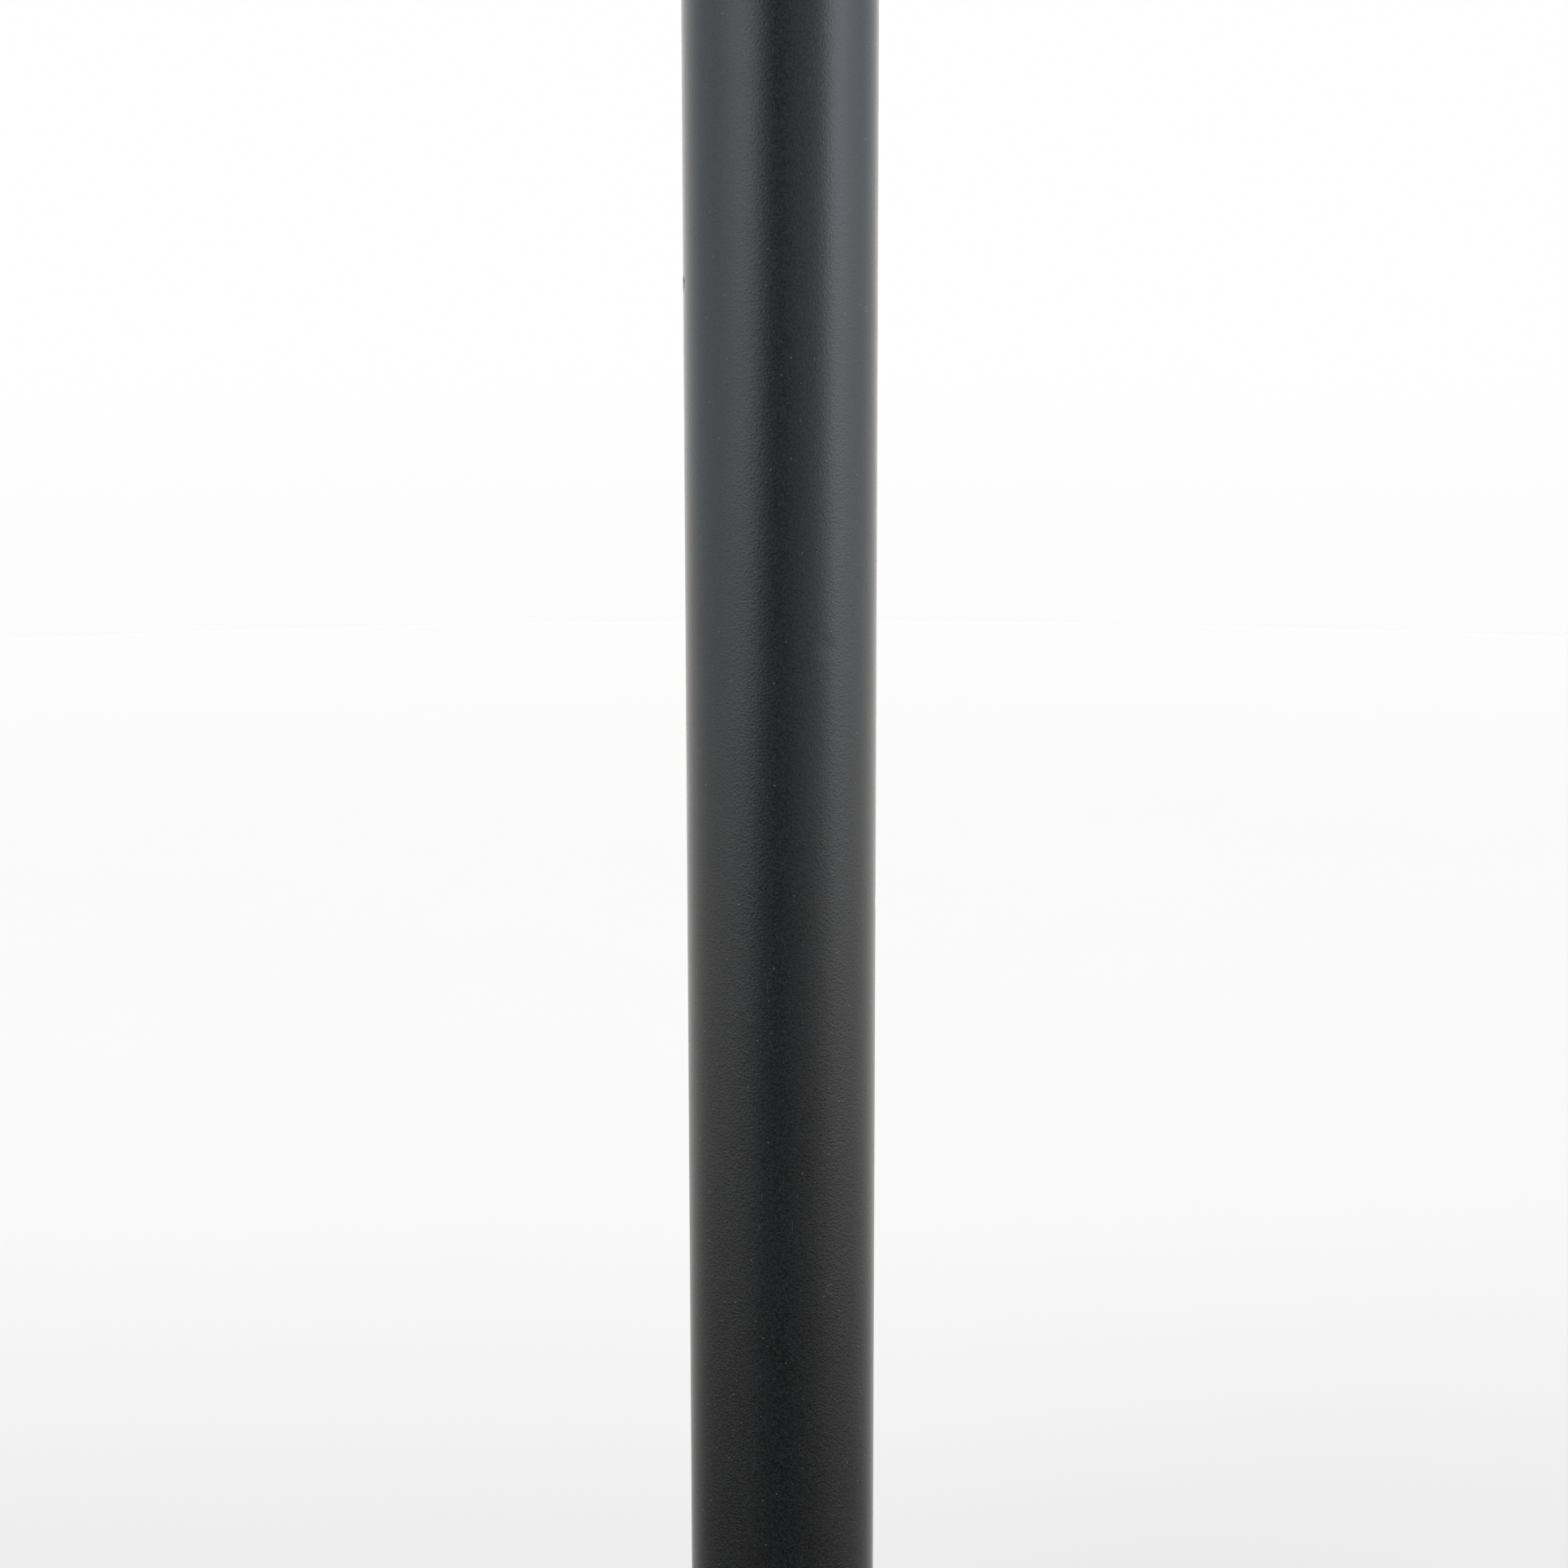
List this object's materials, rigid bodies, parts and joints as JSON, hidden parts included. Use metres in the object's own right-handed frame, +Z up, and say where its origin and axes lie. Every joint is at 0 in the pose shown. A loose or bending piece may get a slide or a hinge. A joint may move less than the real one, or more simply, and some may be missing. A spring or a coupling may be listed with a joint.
{
  "type": "ashtray bin",
  "caption": "Free-standing outdoor ashtray bin: slim round black column on a round base plate, domed canopy over a stub plate, lift-out butt canister.",
  "frame": {"origin": "on the floor, at the centre of the base plate under the column's axis", "axes": "+Z up along the column, -Y the front with the lock, +X to the right seen from the front"},
  "size_m": [0.33, 0.33, 1.0038],
  "materials": {
    "black_paint": "satin black powder coat with a fine orange peel",
    "stainless": "brushed stainless steel",
    "zinc_steel": "bright zinc plate",
    "bare_aluminium": "mill finish",
    "black_rubber": "moulded matt",
    "natural_nylon": "turned"
  },
  "bodies": {
    "post": {"floor_pads": "black_rubber", "base_plate": "black_paint", "flange_bolts": "zinc_steel", "foot_flange": "black_paint", "column_screws": "zinc_steel", "column_tube": "black_paint", "column_sleeve": "stainless"},
    "base_cover": {"base_cover": "black_paint"},
    "head": {"head_casting": "black_paint", "head_gasket": "black_rubber", "funnel": "stainless", "stub_plate": "stainless", "post_washers": "black_rubber", "canopy_posts": "stainless", "canopy": "black_paint", "canopy_seals": "black_rubber", "canopy_screws": "stainless", "bayonet_ring": "stainless", "ring_screws": "zinc_steel", "lock_bezel": "stainless", "bezel_grub_screw": "zinc_steel"},
    "lock": {"lock_spindle": "stainless", "spindle_seal": "black_rubber", "spindle_clip": "zinc_steel"},
    "canister": {"canister_tube": "bare_aluminium", "canister_base": "bare_aluminium", "canister_collar": "bare_aluminium", "canister_rivets": "bare_aluminium", "bayonet_pins": "zinc_steel", "glide_ring": "natural_nylon"}
  },
  "joints": [
    {"name": "head_lift", "type": "slide", "parent": "post", "child": "head", "axis": [0, 0, 1], "range_m": [0, 0.78]},
    {"name": "lock_turn", "type": "hinge", "parent": "head", "child": "lock", "pos_m": [0, -0.05, 0.814], "axis": [0, -1, 0], "range_deg": [0, 90]},
    {"name": "canister_twist", "type": "hinge", "parent": "head", "child": "canister", "pos_m": [0, 0, 0.826], "axis": [0, 0, 1], "range_deg": [0, 25]},
    {"name": "cover_lift", "type": "slide", "parent": "post", "child": "base_cover", "axis": [0, 0, 1], "range_m": [0, 0.7]}
  ]
}
